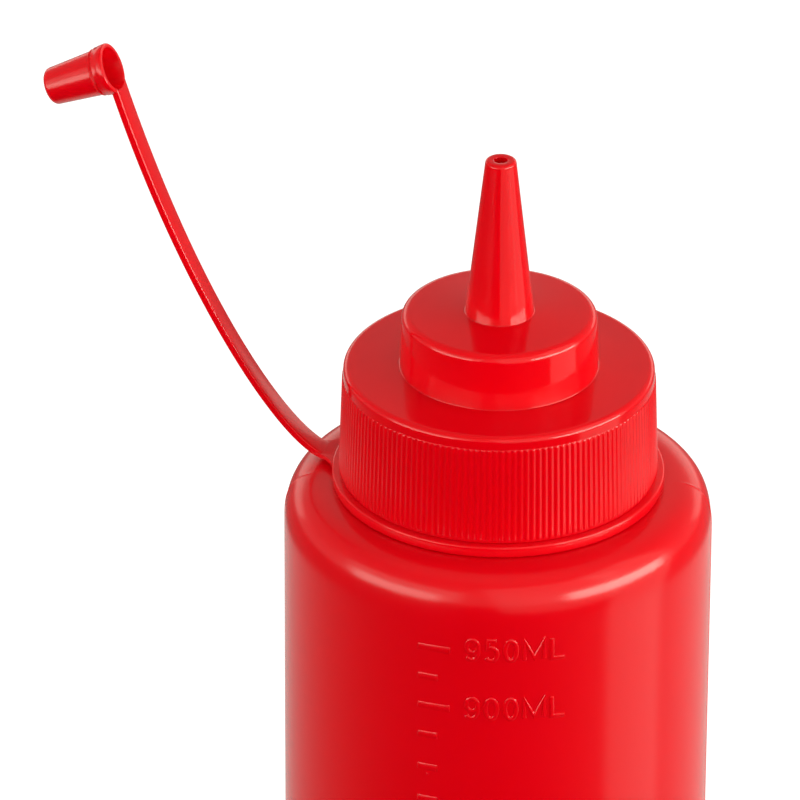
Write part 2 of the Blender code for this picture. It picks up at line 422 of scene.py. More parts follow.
class MaterialSketch(NodeSketch):
    """A material's node tree while it is being laid out."""

    NOISE_MIDDLE = (0.3, 0.7)

    def __init__(self, name: str) -> None:
        """Starts a material with its Principled shader.

        Args:
            name: the material's name.
        """
        self.material = bpy.data.materials.new(name)
        self.material.use_nodes = True
        super().__init__(self.material.node_tree)
        self.shader = self.tree.nodes["Principled BSDF"]

    def noise(self, size: float, detail: float, stretch: Stretch = UNSTRETCHED) -> Socket:
        """Cloudy noise on the object's own coordinates.

        Args:
            size: size of one cloud in millimetres.
            detail: how many finer layers it has.
            stretch: scale of the coordinates along X, Y and Z.

        Returns:
            The noise value, from 0 to 1.
        """
        mapping = self.node("ShaderNodeMapping")
        mapping.inputs["Scale"].default_value = stretch
        self.link(self.node("ShaderNodeTexCoord").outputs["Object"], mapping.inputs["Vector"])
        texture = self.node("ShaderNodeTexNoise")
        texture.inputs["Scale"].default_value = 1.0 / (size * MM)
        texture.inputs["Detail"].default_value = detail
        self.link(mapping.outputs["Vector"], texture.inputs["Vector"])
        return texture.outputs["Fac"]

    def spread(self, noise: Socket, low: float, high: float) -> Socket:
        """Maps the middle part of a noise to a range from low to high."""
        return self.ramp(noise, self.NOISE_MIDDLE, (low, high), Ramp.STRAIGHT)

    def bump(self, height: Socket, depth: float, under: Socket | None = None) -> Socket:
        """Fine relief.

        Args:
            height: relief from 0 to 1.
            depth: its full depth in millimetres.
            under: the normal that it lies on, if another relief comes first.

        Returns:
            The changed normal.
        """
        relief = self.node("ShaderNodeBump")
        relief.inputs["Distance"].default_value = depth * MM
        self.link(height, relief.inputs["Height"])
        if under is not None:
            self.link(under, relief.inputs["Normal"])
        return relief.outputs["Normal"]


@dataclass(frozen=True)
class PlasticFinish:
    """A coloured polyethylene with the fine marks of its mould.

    Attributes:
        slot: the record's material slot, also the material's name.
        process: how the part was made.
        colour: the pigment's main colour, linear.
        deep_colour: its slightly deeper tone, linear.
        roughness: lowest and highest roughness.
        cloud_size: size of the pigment's clouds.
        grain_size: size of the fine surface grain.
        grain_depth: depth of that grain.
        translucency: share of light that scatters inside.
        scatter: how far red, green and blue light travel inside.
        gloss: strength of the reflection against plain plastic, from 0 to 1.
    """

    slot: str
    process: MouldProcess
    colour: Colour
    deep_colour: Colour
    roughness: Point2
    cloud_size: float = 9.0
    grain_size: float = 0.5
    grain_depth: float = 0.0005
    translucency: float = 0.35
    scatter: Colour = (4.5, 0.5, 0.4)
    gloss: float = 0.5

    METALLIC = 0.0
    IOR = 1.5
    CLOUD_DETAIL = 3.0
    HAZE_DETAIL = 4.0
    GRAIN_DETAIL = 2.0
    HAZE_SHARE = 1.0 / 3.0

    def marks(self, sketch: MaterialSketch) -> Socket:
        """The relief that this part's mould leaves, as a changed normal."""
        marks = self.process.value
        return sketch.bump(sketch.noise(marks.size, marks.detail, marks.stretch), marks.depth)

    def material(self) -> bpy.types.Material:
        """Lays out the material.

        Returns:
            The material, ready for a piece's slot.
        """
        sketch = MaterialSketch(self.slot)
        shader = sketch.shader.inputs
        settings = {
            "Metallic": self.METALLIC,
            "IOR": self.IOR,
            "Specular IOR Level": self.gloss,
            "Subsurface Weight": self.translucency,
            "Subsurface Radius": self.scatter,
            "Subsurface Scale": MM,
        }
        for name, value in settings.items():
            shader[name].default_value = value
        tones = sketch.node("ShaderNodeMix", data_type="RGBA")
        tones.inputs["A"].default_value = (*self.deep_colour, 1.0)
        tones.inputs["B"].default_value = (*self.colour, 1.0)
        clouds = sketch.noise(self.cloud_size, self.CLOUD_DETAIL)
        sketch.link(sketch.spread(clouds, 0.0, 1.0), tones.inputs["Factor"])
        sketch.link(tones.outputs["Result"], shader["Base Color"])
        haze = sketch.noise(self.cloud_size * self.HAZE_SHARE, self.HAZE_DETAIL)
        sketch.link(sketch.spread(haze, *self.roughness), shader["Roughness"])
        grain = sketch.noise(self.grain_size, self.GRAIN_DETAIL)
        normal = sketch.bump(grain, self.grain_depth, self.marks(sketch))
        sketch.link(normal, shader["Normal"])
        return sketch.material

    def dress(self, piece: Piece) -> None:
        """Gives a piece this finish and no other."""
        piece.data.materials.clear()
        piece.data.materials.append(self.material())


@dataclass(frozen=True)
class Stroke:
    """A raised bead's middle line on the unrolled wall.

    Attributes:
        points: (along, height) points, along counted from the label's or the tick's own start.
        closed: whether the line comes back to its first point.
    """

    points: tuple[Point2, ...]
    closed: bool = False


class Digits:
    """Plain figures and the unit's letters, drawn in a cell that is one wide and one high.

    A sign is made of ovals, given by centre and radii, and then of at most one open line.
    """

    STEPS = 14
    TAIL = ((1.0, 0.69), *arc((0.44, 0.42), (0.56, 0.42), 0.0, -140.0, STEPS))
    OVALS = {
        "0": (((0.5, 0.5), (0.5, 0.5)),),
        "6": (((0.5, 0.31), (0.5, 0.31)),),
        "8": (((0.5, 0.76), (0.43, 0.24)), ((0.5, 0.27), (0.5, 0.27))),
        "9": (((0.5, 0.69), (0.5, 0.31)),),
    }
    LINES = {
        "1": ((0.15, 0.78), (0.6, 1.0), (0.6, 0.0)),
        "2": (*arc((0.5, 0.70), (0.48, 0.30), 165.0, -38.0, STEPS), (0.02, 0.0), (1.0, 0.0)),
        "3": (
            *arc((0.46, 0.76), (0.44, 0.24), 150.0, -90.0, STEPS),
            *arc((0.46, 0.26), (0.54, 0.26), 90.0, -150.0, STEPS)[1:],
        ),
        "4": ((1.0, 0.28), (0.0, 0.28), (0.74, 1.0), (0.74, 0.0)),
        "5": ((0.93, 1.0), (0.2, 1.0), *arc((0.46, 0.33), (0.54, 0.33), 128.0, -148.0, STEPS)),
        "6": tuple((1.0 - x, 1.0 - y) for x, y in TAIL),
        "7": ((0.0, 1.0), (1.0, 1.0), (0.38, 0.0)),
        "9": TAIL,
        "M": ((0.0, 0.0), (0.0, 1.0), (0.5, 0.12), (1.0, 1.0), (1.0, 0.0)),
        "L": ((0.0, 1.0), (0.0, 0.0), (1.0, 0.0)),
    }

    @classmethod
    def strokes(cls, sign: str) -> list[Stroke]:
        """Draws one sign.

        Args:
            sign: a figure, M or L.

        Returns:
            Its strokes, in the unit cell.
        """
        strokes = []
        for centre, radii in cls.OVALS.get(sign, ()):
            oval = arc(centre, radii, 0.0, 360.0, 2 * cls.STEPS)[:-1]
            strokes.append(Stroke(tuple(oval), closed=True))
        if sign in cls.LINES:
            strokes.append(Stroke(cls.LINES[sign]))
        return strokes


@dataclass
class VolumeScale:
    """The raised volume scale on the bottle's wall: ticks, and labels beside the long ones."""

    radius: float
    ring_level: float
    tick_turn: float = -98.0
    label_turn: float = -85.27
    top_volume: int = 950
    step_volume: int = 25
    lowest_volume: int = 100
    drops: tuple[tuple[int, float], ...] = ((950, 14.68), (875, 32.38), (825, 45.58), (100, 212.58))
    label_every: int = 100
    long_tick: float = 5.97
    short_tick: float = 3.75
    tick_width: float = 1.45
    tick_relief: float = 0.22
    label_height: float = 4.85
    label_rise: float = 0.5
    stroke_width: float = 0.84
    stroke_relief: float = 0.24
    sign_gap: float = 0.54
    specks: tuple[Point2, ...] = ((-95.4, 197.0), (-92.2, 191.5), (-63.0, 172.0))
    speck_size: float = 0.42

    SIGN_WIDTHS = {"M": 4.35, "L": 3.2, "5": 2.8, "1": 1.9}
    USUAL_SIGN_WIDTH = 2.85
    HALF_CROWN = ((-0.5, -0.1), (-0.44, 0.55), (-0.26, 0.95))
    CROWN = (*HALF_CROWN, (0.0, 1.0), *((-x, rise) for x, rise in HALF_CROWN[::-1]))
    FOOT_DEPTH = 0.25
    END_TAPER = 0.14
    END_WIDTH = 0.8
    END_LIFT = 0.5
    MITRE_LIMIT = 1.7
    STEEPEST_MITRE = 0.1

    def level(self, volume: int) -> float:
        """Height of a tick's middle line, evenly spaced between the volumes with a known drop.

        Args:
            volume: the tick's volume in millilitres.

        Returns:
            The height.
        """
        for (high, high_drop), (low, low_drop) in zip(self.drops[:-1], self.drops[1:]):
            if volume >= low:
                break
        share = (high - volume) / (high - low)
        return self.ring_level - high_drop - (low_drop - high_drop) * share

    def is_labelled(self, volume: int) -> bool:
        """Whether a volume has a label and a long tick: the topmost and every full hundred."""
        return volume == self.top_volume or volume % self.label_every == 0

    def stations(self, stroke: Stroke) -> list[tuple[Vector, Vector, float]]:
        """Where the sections of a bead stand along its stroke.

        Args:
            stroke: the middle line.

        Returns:
            For each section its middle, its way across, longer at a mitre, and its share of
            the full relief.
        """
        points = [Vector(point) for point in stroke.points]
        count = len(points)
        stations = []
        for index, point in enumerate(points):
            arriving = leaving = None
            if index or stroke.closed:
                arriving = (point - points[index - 1]).normalized()
            if index + 1 < count or stroke.closed:
                leaving = (points[(index + 1) % count] - point).normalized()
            if arriving is None or leaving is None:
                along, spread = leaving if arriving is None else arriving, 1.0
            else:
                along = (arriving + leaving).normalized()
                spread = 1.0 / max(along.dot(arriving), self.STEEPEST_MITRE)
            across = Vector((along.y, -along.x)) * min(spread, self.MITRE_LIMIT)
            stations.append((point, across, 1.0))
        if not stroke.closed:
            first, last = stations[0], stations[-1]
            onward = (points[1] - points[0]).normalized() * self.END_TAPER
            back = (points[-1] - points[-2]).normalized() * self.END_TAPER
            stations[0] = (first[0] + onward, first[1], 1.0)
            stations[-1] = (last[0] - back, last[1], 1.0)
            stations.insert(0, (first[0], first[1] * self.END_WIDTH, self.END_LIFT))
            stations.append((last[0], last[1] * self.END_WIDTH, self.END_LIFT))
        return stations

    def bead(self, stroke: Stroke, turn: float, width: float, relief: float) -> Shell:
        """A rounded bead along a stroke, wrapped round the wall with its foot sunk in it.

        Args:
            stroke: the middle line, with true heights.
            turn: where the stroke's zero lies, in degrees round the axis.
            width: the bead's full width.
            relief: how far its crown stands out.

        Returns:
            The closed bead.
        """
        shell = Shell()
        rows = []
        for point, across, lift in self.stations(stroke):
            section = [(share, rise * relief * lift) for share, rise in self.CROWN]
            section += [(self.CROWN[end][0], -self.FOOT_DEPTH) for end in (-1, 0)]
            row = []
            for share, rise in section:
                place = point + across * (share * width)
                angle = math.radians(turn) + place.x / self.radius
                row.append(polar(self.radius + rise, angle, place.y))
            rows.append(shell.row(row))
        if stroke.closed:
            shell.chain([*rows, rows[0]])
        else:
            shell.chain(rows)
            shell.cap_ends(rows)
        return shell

    def tick(self, volume: int) -> Shell:
        """Makes the tick bar of one volume.

        Args:
            volume: the volume in millilitres.

        Returns:
            The closed bead.
        """
        length = self.long_tick if self.is_labelled(volume) else self.short_tick
        height = self.level(volume)
        bar = Stroke(((0.0, height), (length / 2.0, height), (length, height)))
        return self.bead(bar, self.tick_turn, self.tick_width, self.tick_relief)

    def label(self, volume: int) -> list[Shell]:
        """Makes one label, a number and its unit.

        Args:
            volume: the volume in millilitres.

        Returns:
            Its strokes as closed beads.
        """
        beads = []
        start = self.stroke_width / 2.0
        line_height = self.label_height - self.stroke_width
        bottom = self.level(volume) + self.label_rise - line_height / 2.0
        for sign in f"{volume}ML":
            width = self.SIGN_WIDTHS.get(sign, self.USUAL_SIGN_WIDTH)
            cell = width - self.stroke_width
            for stroke in Digits.strokes(sign):
                placed = [(start + x * cell, bottom + y * line_height) for x, y in stroke.points]
                line = Stroke(tuple(placed), stroke.closed)
                bead = self.bead(line, self.label_turn, self.stroke_width, self.stroke_relief)
                beads.append(bead)
            start += width + self.sign_gap
        return beads

    def pieces(self) -> list[Piece]:
        """Makes all ticks, labels and moulding specks.

        Returns:
            All of them as closed beads that reach into the wall.
        """
        shells = []
        for volume in range(self.top_volume, self.lowest_volume - 1, -self.step_volume):
            shells.append(self.tick(volume))
            if self.is_labelled(volume):
                shells += self.label(volume)
        for turn, height in self.specks:
            dot = Stroke(((0.0, height), (self.speck_size, height)))
            shells.append(self.bead(dot, turn, self.speck_size, self.tick_relief / 2.0))
        return [shell.to_object(f"scale_bead_{index}") for index, shell in enumerate(shells)]


@dataclass
class Bottle:
    """The blown bottle: base, straight body, round shoulder, neck and raised volume scale."""

    sizes: FrameSizes
    finish: PlasticFinish
    columns: int = 360
    base_edge_radius: float = 5.0
    recess_radius: float = 27.0
    recess_depth: float = 0.6
    recess_slope: float = 1.2
    shoulder_gap: float = 0.5
    shoulder_drop: float = 10.0
    shoulder_power: float = 3.05
    shoulder_start: float = 29.2
    shoulder_steps: int = 26
    neck_radius: float = 25.8
    neck_edge: float = 0.6
    seam_turns: Point2 = (11.0, 191.0)
    seam_half_width: float = 0.4
    seam_relief: float = 0.12
    wall_rows: int = 30
    sway: float = 0.035
    sway_count: float = 3.0
    sway_pitches: Point2 = (23.0, 41.0)
    sharp_angle: float = 30.0

    SEAM_COLUMNS = (-1.0, -0.5, 0.0, 0.5, 1.0)
    TURN_DIGITS = 6

    def turns(self) -> list[float]:
        """Columns round the bottle, closer together at the two parting seams.

        Returns:
            Their turns in radians, rising.
        """
        turns = even_turns(self.columns)
        for seam in self.seam_turns:
            for share in self.SEAM_COLUMNS:
                aside = share * self.seam_half_width / self.sizes.body_radius
                turns.append((math.radians(seam) + aside) % FULL_TURN)
        return sorted(set(round(turn, self.TURN_DIGITS) for turn in turns))

    def offset(self, turn: float, height: float) -> float:
        """Relief of the parting seams and the slow sway of a blown wall.

        Args:
            turn: turn in radians.
            height: height above the base.

        Returns:
            What it adds to the radius.
        """
        around, upwards = self.sway_pitches
        slant = math.sin(self.sway_count * turn + height / around)
        relief = self.sway * slant * math.sin(height / upwards)
        for seam in self.seam_turns:
            away = abs((math.degrees(turn) - seam + 180.0) % 360.0 - 180.0)
            share = math.radians(away) * self.sizes.body_radius / self.seam_half_width
            relief += self.seam_relief * max(1.0 - share, 0.0)
        return relief

    def shoulder(self) -> list[Point2]:
        """The round shoulder.

        Returns:
            Its outline, from the straight wall up to the flat under the ring.
        """
        points = []
        level = self.sizes.ring_level - self.shoulder_gap
        span = self.sizes.body_radius - self.shoulder_start
        for step in range(self.shoulder_steps, -1, -1):
            share = math.sin(0.5 * math.pi * step / self.shoulder_steps)
            bow = (1.0 - share ** self.shoulder_power) ** (1.0 / self.shoulder_power)
            height = level - self.shoulder_drop * (1.0 - bow)
            points.append((self.shoulder_start + span * share, height))
        return points

    def profile(self) -> list[Point2]:
        """The whole outline.

        Returns:
            Its points, from the middle of the base to the top of the neck.
        """
        radius, edge = self.sizes.body_radius, self.base_edge_radius
        shoulder = self.shoulder()
        rise = shoulder[0][1] - edge
        points = [(self.recess_radius, self.recess_depth)]
        points += [(self.recess_radius + self.recess_slope, 0.0)]
        points += round_edge((radius - edge, edge), edge, -90.0, 0.0, 12)
        points += [(radius, edge + rise * row / self.wall_rows) for row in range(1, self.wall_rows)]
        points += shoulder
        points += [
            (self.neck_radius, shoulder[-1][1]),
            (self.neck_radius, self.sizes.neck_top - self.neck_edge),
            (self.neck_radius - self.neck_edge, self.sizes.neck_top),
        ]
        return points

    def build(self) -> Piece:
        """Makes the bottle, fuses its scale to the wall and dresses it.

        Returns:
            The piece, riding on the body.
        """
        shell = Shell()
        rings = shell.turned(self.profile(), self.turns(), self.offset)
        shell.cap_ends(rings)
        piece = shell.to_object("squeeze_bottle")
        scale = VolumeScale(self.sizes.body_radius, self.sizes.ring_level)
        combine(piece, Joining.FUSE, scale.pieces())
        smooth(piece, self.sharp_angle)
        self.finish.dress(piece)
        return settle(piece, "bottle")


@dataclass
class ScrewCap:
    """The screw cap: a skirt with grip ribs, a raised drum and an open cone nozzle."""

    sizes: FrameSizes
    finish: PlasticFinish
    columns: int = 256
    nozzle_columns: int = 96
    rib_count: int = 160
    rib_relief: float = 0.17
    rib_columns: int = 8
    rib_round: float = 0.5
    rib_start: float = 0.45
    rib_end: float = 19.95
    top: float = 22.35
    top_radius: float = 27.5
    bottom_radius: float = 28.19
    bottom_edge: float = 0.2
    rib_gap: float = 0.1
    edge_radius: float = 1.1
    inner_radius: float = 26.1
    inner_gap: float = 0.3
    seat_gap: float = 0.05
    drum_top: float = 32.85
    drum_radius: float = 17.25
    drum_foot_radius: float = 17.55
    drum_edge: float = 1.5
    drum_fillet: float = 0.2
    nozzle_foot_radius: float = 6.05
    nozzle_fillet: float = 0.25
    nozzle_draft: float = 6.0
    tip_radius: float = 2.75
    tip_edge: float = 0.6
    bore_tip_radius: float = 1.2
    bore_foot_radius: float = 4.2
    bore_edge: float = 0.2
    sharp_angle: float = 35.0

    def skirt_radius(self, height: float) -> float:
        """Radius of the skirt between its ribs.

        Args:
            height: height above the ring's level.

        Returns:
            The radius there.
        """
        bottom = self.sizes.ring_height
        share = (height - bottom) / (self.top - self.edge_radius - bottom)
        return self.bottom_radius + (self.top_radius - self.bottom_radius) * share

    def rib_rise(self, turn: float, lift: float) -> float:
        """Relief of a rib at a turn, where lift falls from 1 on the rib to 0 at its ends."""
        share = turn * self.rib_count / FULL_TURN % 1.0
        return self.rib_relief * lift * (0.5 - 0.5 * math.cos(FULL_TURN * share))

    def rib_rows(self) -> list[Point2]:
        """Rows of the ribbed band, closer together at its ends.

        Returns:
            For each its height above the ring's level and the rib's lift there.
        """
        bottom = self.sizes.ring_height + self.rib_start
        rows, mirrored = [], []
        for angle in (0.0, 22.5, 45.0, 67.5, 90.0):
            turn = math.radians(angle)
            inset = self.rib_round * (1.0 - math.cos(turn))
            rows.append((bottom + inset, math.sin(turn)))
            mirrored.append((self.rib_end - inset, math.sin(turn)))
        return rows + mirrored[::-1]

    def top_profile(self) -> list[Point2]:
        """Outline from the ribs' end over the top edge and the drum.

        Returns:
            Points of radius and height above the ring's level.
        """
        edge = (self.top_radius - self.edge_radius, self.top - self.edge_radius)
        drum_foot = (self.drum_foot_radius + self.drum_fillet, self.top + self.drum_fillet)
        drum_edge = (self.drum_radius - self.drum_edge, self.drum_top - self.drum_edge)
        above_ribs = self.rib_end + self.rib_gap
        profile = [(self.skirt_radius(above_ribs), above_ribs)]
        profile += round_edge(edge, self.edge_radius, 0.0, 90.0, 12)
        profile += round_edge(drum_foot, self.drum_fillet, 270.0, 180.0, 6)
        profile += round_edge(drum_edge, self.drum_edge, 0.0, 90.0, 8)
        return profile

    def nozzle_profile(self, inner_top: float) -> list[Point2]:
        """Outline from the nozzle's foot over its tip and down the bore.

        Args:
            inner_top: where the bore opens into the socket, above the ring's level.

        Returns:
            Points of radius and height above the ring's level.
        """
        top, lip = self.sizes.nozzle_top - self.sizes.ring_level, self.bore_edge
        foot = (self.nozzle_foot_radius + self.nozzle_fillet, self.drum_top + self.nozzle_fillet)
        tip = (self.tip_radius - self.tip_edge, top - self.tip_edge)
        profile = round_edge(foot, self.nozzle_fillet, 270.0, 180.0 + self.nozzle_draft, 5)
        profile += round_edge(tip, self.tip_edge, self.nozzle_draft, 90.0, 6)
        profile += round_edge((self.bore_tip_radius + lip, top - lip), lip, 90.0, 180.0, 3)
        profile += [(self.bore_foot_radius, self.drum_top), (self.bore_foot_radius, inner_top)]
        return profile

    def build(self) -> Piece:
        """Makes the cap as one turned wall, from its socket over the outside and down the bore.

        Returns:
            The piece, riding on the body.
        """
        base, edge = self.sizes.ring_level, self.bottom_edge
        bottom = self.sizes.ring_height + self.seat_gap
        inner_top = self.sizes.neck_top - base + self.inner_gap
        turns, rib_turns = even_turns(self.columns), even_turns(self.rib_count * self.rib_columns)
        lip = round_edge((self.bottom_radius - edge, bottom + edge), edge, -90.0, 0.0, 3)
        bands = (
            ([(self.inner_radius, bottom), *lip], turns, None),
            *(
                ([(self.skirt_radius(height), height)], rib_turns, lift)
                for height, lift in self.rib_rows()
            ),
            (self.top_profile(), turns, None),
            (self.nozzle_profile(inner_top), even_turns(self.nozzle_columns), None),
            ([(self.inner_radius, inner_top)], turns, None),
        )
        shell = Shell()
        rows = []
        for points, columns, lift in bands:
            ribs = None if lift is None else lambda turn, _: self.rib_rise(turn, lift)
            rows += [shell.ring(radius, base + height, columns, ribs) for radius, height in points]
        shell.chain([*rows, rows[0]])
        piece = shell.to_object("ribbed_screw_cap")
        smooth(piece, self.sharp_angle)
        self.finish.dress(piece)
        return settle(piece, "screw_cap")


@dataclass
class Tether:
    """Ring, tab, curved strap and tip cap, one soft moulding."""

    sizes: FrameSizes
    finish: PlasticFinish
    ring_columns: int = 256
    cap_columns: int = 96
    ring_inner_radius: float = 26.1
    ring_sink: float = 0.42
    ring_edge: float = 0.35
    root: Point2 = (31.6, 0.45)
    root_pull: Point2 = (39.7, 3.0)
    tip_pull: Point2 = (56.6, 29.2)
    tip: Point2 = (69.05, 68.5)
    stations: int = 96
    thickness: float = 1.3
    root_width: float = 4.45
    middle_width: float = 4.15
    tip_width: float = 5.0
    narrowed: float = 0.4
    widening: float = 0.5
    strap_edge: float = 0.28
    tab_thickness: float = 0.8
    tab_level: float = 0.3
    tab_width: float = 4.2
    tab_fillet: float = 5.5
    tab_reach: float = 32.4
    tab_overlap: float = 0.4
    mouth: Point2 = (70.0, 71.8)
    cap_lift: float = 24.0
    cap_length: float = 12.5
    mouth_radius: float = 4.6
    mouth_bore: float = 3.7
    rim_edge: float = 0.3
    collar_step: float = 1.35
    collar_depth: float = 2.2
    collar_radius: float = 4.5
    collar_low_radius: float = 4.4
    groove_radius: float = 4.05
    groove_drop: float = 0.03
    groove_step: float = 0.02
    groove_length: float = 0.25
    lip_depth: float = 2.75
    lip_radius: float = 4.25
    end_radius: float = 3.35
    end_bore: float = 2.7
    end_wall: float = 1.2
    end_edge: float = 1.0
    bore_runout: float = 1.0
    bore_edge: float = 0.5
    sharp_angle: float = 35.0

    def ring(self) -> Piece:
        """Makes the flat ring round the neck, with round outer edges.

        Returns:
            The closed ring.
        """
        level, edge = self.sizes.ring_level, self.ring_edge
        low, high = level - self.ring_sink, level + self.sizes.ring_height
        middle = self.sizes.ring_radius - edge
        profile = [(self.ring_inner_radius, low)]
        profile += round_edge((middle, low + edge), edge, -90.0, 0.0, 4)
        profile += round_edge((middle, high - edge), edge, 0.0, 90.0, 4)
        profile += [(self.ring_inner_radius, high)]
        shell = Shell()
        rings = shell.turned(profile, even_turns(self.ring_columns))
        shell.bridge(rings[-1], rings[0])
        return shell.to_object("strapped_tip_cap")

    def tab(self) -> Piece:
        """Makes the flat tab between ring and strap, with hollow fillets towards the ring.

        Returns:
            The closed tab, which reaches into the ring.
        """
        half = self.tab_width / 2.0
        side = half + self.tab_fillet
        ring_radius = self.sizes.ring_radius
        reach = math.sqrt((ring_radius + self.tab_fillet) ** 2 - side ** 2)
        turn = math.degrees(math.atan2(side, reach))
        flare = round_edge((reach, side), self.tab_fillet, 270.0, 180.0 + turn, 20)
        outline = [(self.ring_inner_radius + self.tab_overlap, flare[-1][1]), *flare[::-1]]
        outline = [point for point in outline if point[0] <= self.tab_reach]
        outline += [(self.tab_reach, half)]
        outline += [(x, -y) for x, y in outline[::-1]]
        shell = Shell()
        rows = []
        for height in (self.tab_level, self.tab_level + self.tab_thickness):
            level = self.sizes.ring_level + height
            rows.append(shell.row(Vector((-x, y, level)) for x, y in outline))
        shell.chain(rows)
        shell.cap_ends(rows)
        return shell.to_object("tab")

    def middle_line(self, share: float) -> tuple[Vector, Vector]:
        """Place and direction on the strap's middle line, in its own upright plane.

        Args:
            share: 0 at the root and 1 at the tip cap.

        Returns:
            The place, as distance from the axis and height above the ring, and the direction.
        """
        corners = [Vector(pair) for pair in (self.root, self.root_pull, self.tip_pull, self.tip)]
        rest = 1.0 - share
        place = rest ** 3 * corners[0] + 3 * rest ** 2 * share * corners[1]
        place += 3 * rest * share ** 2 * corners[2] + share ** 3 * corners[3]
        heading = rest ** 2 * (corners[1] - corners[0])
        heading += 2 * rest * share * (corners[2] - corners[1])
        heading += share ** 2 * (corners[3] - corners[2])
        return place, heading.normalized()

    def section(self, share: float) -> list[Point2]:
        """The strap's rounded section.

        Args:
            share: 0 at the root and 1 at the tip cap.

        Returns:
            Its points, as distance across and rise over the middle line.
        """
        if share < self.widening:
            width = ease(self.root_width, self.middle_width, share / self.narrowed)
        else:
            widened = (share - self.widening) / (1.0 - self.widening)
            width = ease(self.middle_width, self.tip_width, widened)
        across, up = width / 2.0 - self.strap_edge, self.thickness / 2.0 - self.strap_edge
        points = []
        for right, top, start in ((1, 1, 90.0), (1, -1, 0.0), (-1, -1, -90.0), (-1, 1, 180.0)):
            corner = (right * across, top * up)
            points += round_edge(corner, self.strap_edge, start, start - 90.0, 4)
        return points

    def strap(self) -> Piece:
        """Makes the curved strap by sweeping its section along the middle line.

        Returns:
            The closed strap.
        """
        shell = Shell()
        rows = []
        for station in range(self.stations + 1):
            share = station / self.stations
            place, heading = self.middle_line(share)
            row = []
            for side, rise in self.section(share):
                distance = place.x - heading.y * rise
                height = self.sizes.ring_level + place.y + heading.x * rise
                row.append(Vector((-distance, side, height)))
            rows.append(shell.row(row))
        shell.chain(rows)
        shell.cap_ends(rows)
        return shell.to_object("strap")

    def on_tip_axis(self, name: str, profile: Sequence[Point2]) -> Piece:
        """Makes a closed body that is turned about the tip cap's own axis.

        Args:
            name: name of the object.
            profile: its outline as (radius, depth) points, the depth counted from the mouth.

        Returns:
            The body, tilted and in its place.
        """
        shell = Shell()
        upright = [(radius, -depth) for radius, depth in profile]
        rings = shell.turned(upright, even_turns(self.cap_columns))
        shell.cap_ends(rings)
        tilt = Matrix.Rotation(math.radians(90.0 - self.cap_lift), 4, "Y")
        mouth = Vector((-self.mouth[0], 0.0, self.sizes.ring_level + self.mouth[1]))
        return shell.to_object(name, Matrix.Translation(mouth) @ tilt)

    def tip_body(self) -> Piece:
        """Makes the tip cap's outside: a tapered barrel with a stepped collar, a groove and a lip.

        Returns:
            The closed barrel.
        """
        edge, soft = self.rim_edge, self.rim_edge / 2.0
        low_collar = (self.collar_low_radius - soft, self.collar_depth - soft)
        end = (self.end_radius - self.end_edge, self.cap_length - self.end_edge)
        profile = round_edge((self.mouth_radius - edge, edge), edge, -90.0, 0.0, 5)
        profile += [(self.collar_radius, self.collar_step)]
        profile += [(self.collar_low_radius, self.collar_step + soft)]
        profile += round_edge(low_collar, soft, 0.0, 90.0, 3)
        profile += [(self.groove_radius, self.collar_depth + self.groove_drop)]
        profile += round_edge((self.lip_radius - soft, self.lip_depth), soft, -60.0, 75.0, 4)
        profile += [(self.groove_radius - self.groove_step, self.lip_depth + self.groove_length)]
        profile += round_edge(end, self.end_edge, 5.0, 90.0, 8)
        return self.on_tip_axis("tip_body", profile)

    def tip_bore(self) -> Piece:
        """Makes the tapered bore that is cut into the tip cap and through the strap's end.

        Returns:
            The closed cutter.
        """
        depth, edge = self.cap_length - self.end_wall, self.bore_edge
        opened = self.mouth_bore + self.rim_edge / 2.0
        profile = [(opened, -self.bore_runout), (opened, 0.0), (self.mouth_bore, self.rim_edge)]
        profile += [(self.end_bore, depth - edge), (self.end_bore - edge, depth)]
        return self.on_tip_axis("tip_bore", profile)

    def build(self) -> Piece:
        """Makes the parts, joins them into one moulding and dresses it.

        Returns:
            The piece, riding on the body.
        """
        piece = self.ring()
        combine(piece, Joining.FUSE, [self.tab(), self.strap(), self.tip_body()])
        combine(piece, Joining.CUT, [self.tip_bore()])
        smooth(piece, self.sharp_angle)
        self.finish.dress(piece)
        return settle(piece, "tether")


@dataclass(frozen=True)
class SoftBox:
    """A rectangular studio light.

    Attributes:
        name: what it is called.
        turn: where it stands round the bottle, in degrees from +X.
        lift: its height angle above the bottle's shoulder, in degrees.
        half_angles: half its width and half its height as the bottle sees them, in degrees.
        radiance: how bright its face is.
        distance: how far it stands, in metres.
        colour: its warm white, linear.
        mirrored: whether it shows in the gloss as well as lighting the colour.
    """

    name: str
    turn: float
    lift: float
    half_angles: Point2
    radiance: float
    distance: float = 1.2
    colour: Colour = (1.0, 1.0, 0.88)
    mirrored: bool = True

    def build(self, target: Vector) -> Piece:
        """Makes the light and aims it.

        Args:
            target: the point that it faces, in metres.

        Returns:
            The light object.
        """
        halves = (math.tan(math.radians(half)) for half in self.half_angles)
        width, height = (2.0 * self.distance * half for half in halves)
        data = bpy.data.lights.new(self.name, "AREA")
        data.shape = "RECTANGLE"
        data.size, data.size_y = width, height
        data.color = self.colour
        data.energy = self.radiance * math.pi * width * height
        lift = math.radians(self.lift)
        away = polar(math.cos(lift), math.radians(self.turn), math.sin(lift))
        light = put_in_scene(self.name, data)
        light.location = target + away * self.distance
        light.rotation_euler = away.to_track_quat("Z", "Y").to_euler()
        light.visible_camera = False
        light.visible_glossy = self.mirrored
        return light


